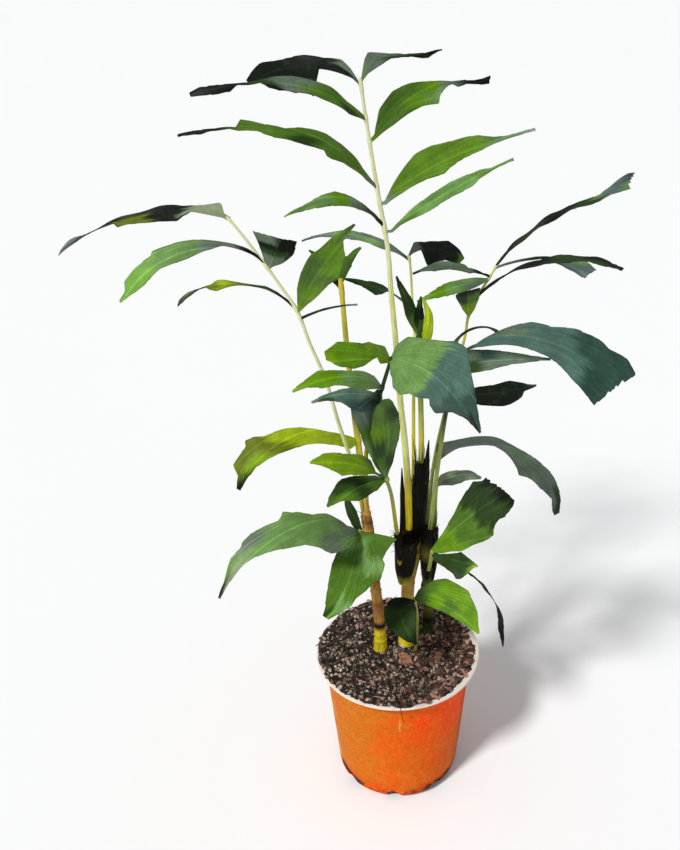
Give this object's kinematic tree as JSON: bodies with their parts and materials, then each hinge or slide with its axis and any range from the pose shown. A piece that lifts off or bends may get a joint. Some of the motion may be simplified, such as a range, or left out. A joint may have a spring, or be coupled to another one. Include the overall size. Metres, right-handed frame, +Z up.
{
  "type": "potted fishtail palm",
  "caption": "Young clumping fishtail palm with ragged-ended leaflets, growing in a thin round tapered nursery pot full of soil.",
  "frame": {"origin": "centre of the pot's flat bottom", "axes": "+Z up along the pot's axis and the stems, -Y towards the viewer of the picture, +X to the viewer's right"},
  "size_m": [0.5039, 0.3098, 0.7182],
  "materials": {
    "pot_plastic": "satin",
    "potting_soil": "matte",
    "bark": "matte",
    "stem": "satin",
    "leaf": "satin"
  },
  "bodies": {
    "root": {"pot": "pot_plastic", "soil": "potting_soil", "bark_chip_front": "bark", "bark_chip_right": "bark", "bark_chip_middle": "bark", "stem_left": "stem", "stem_middle": "stem", "stem_right": "stem", "frond_tall": "leaf", "frond_left": "leaf", "frond_right_back": "leaf", "frond_back": "leaf", "frond_spear": "leaf", "frond_right_front": "leaf", "frond_front": "leaf", "frond_left_back": "leaf", "frond_middle_low": "leaf", "frond_left_low": "leaf", "frond_right_low": "leaf", "frond_right_arch": "leaf", "sucker": "leaf"}
  },
  "joints": []
}
